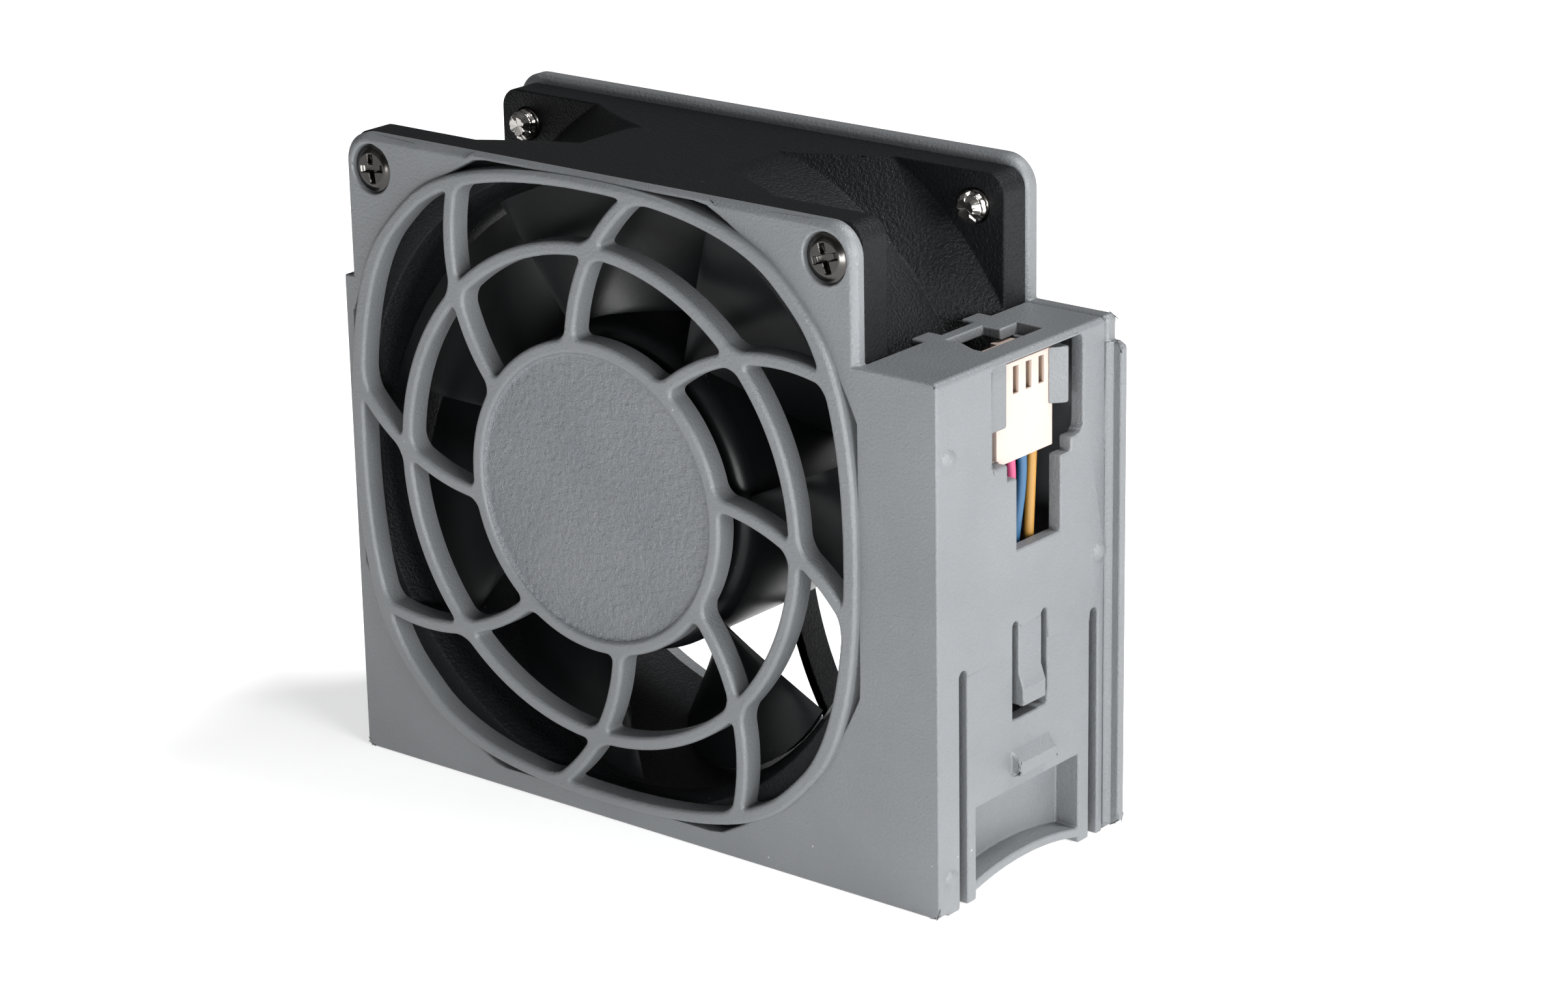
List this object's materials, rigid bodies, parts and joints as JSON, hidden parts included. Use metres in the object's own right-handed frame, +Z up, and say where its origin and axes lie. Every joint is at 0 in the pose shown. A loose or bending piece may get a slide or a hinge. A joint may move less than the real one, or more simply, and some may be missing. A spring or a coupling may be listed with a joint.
{
  "type": "server fan module",
  "caption": "Square axial fan in a plastic cradle with a spiral finger guard, a side connector bay with wires, a slide rail and a sprung latch arm.",
  "frame": {"origin": "centre of the bounding box at the underside, which is the cradle's floor", "axes": "+Z up towards the connector's mating face, +Y along the air flow from grille to outlet, +X towards the connector bay"},
  "size_m": [0.0946, 0.0364, 0.0834],
  "materials": {
    "cradle_plastic": "spark-eroded dark grey ABS, satin on the side wall",
    "fan_plastic": "black glass-filled PBT, fine matte grain",
    "rotor_plastic": "black PBT, slightly smoother than the frame",
    "yoke_steel": "zinc-plated drawn steel",
    "magnet": "bonded ferrite",
    "shaft_steel": "ground steel",
    "clip_nylon": "natural nylon",
    "tube_brass": "turned brass",
    "sintered_bronze": "oil-filled sintered bronze",
    "cap_plastic": "black plastic",
    "core_steel": "laminated silicon steel",
    "coil_copper": "enamelled copper wire",
    "board": "solder-masked glass epoxy",
    "screw_nickel": "black-nickel plated steel",
    "connector_nylon": "natural white nylon",
    "terminal_brass": "tin-plated brass",
    "wire_black": "black PVC insulation",
    "wire_red": "red-pink PVC insulation",
    "wire_blue": "blue PVC insulation",
    "wire_yellow": "yellow PVC insulation"
  },
  "bodies": {
    "module": {"front_grille": "cradle_plastic", "rear_frame": "cradle_plastic", "left_wall": "cradle_plastic", "floor_plate": "cradle_plastic", "connector_bay": "cradle_plastic", "fan_frame": "fan_plastic", "bearing_tube": "tube_brass", "bearing_front": "sintered_bronze", "bearing_rear": "sintered_bronze", "bearing_cap": "cap_plastic", "stator_core": "core_steel", "stator_coils": "coil_copper", "motor_board": "board", "front_screws": "screw_nickel", "rear_screws": "screw_nickel", "connector_housing": "connector_nylon", "connector_terminals": "terminal_brass", "wire_black": "wire_black", "wire_red": "wire_red", "wire_blue": "wire_blue", "wire_yellow": "wire_yellow"},
    "rotor": {"impeller": "rotor_plastic", "rotor_yoke": "yoke_steel", "rotor_magnet": "magnet", "shaft": "shaft_steel", "shaft_clip": "clip_nylon"},
    "latch": {"latch_arm": "cradle_plastic"},
    "finger": {"spring_finger": "cradle_plastic"}
  },
  "joints": [
    {"name": "fan_spin", "type": "hinge", "parent": "module", "child": "rotor", "pos_m": [-0.006, -0.0013, 0.0422], "axis": [0, -1, 0], "continuous": true},
    {"name": "latch_flex", "type": "hinge", "parent": "module", "child": "latch", "pos_m": [0.0437, 0.0007, 0.029], "axis": [0, 1, 0], "range_deg": [0, 7], "stiffness_Nm_per_rad": 2},
    {"name": "finger_flex", "type": "hinge", "parent": "module", "child": "finger", "pos_m": [0.0437, 0.0009, 0.0322], "axis": [0, 1, 0], "range_deg": [0, 4.5], "stiffness_Nm_per_rad": 0.5}
  ]
}
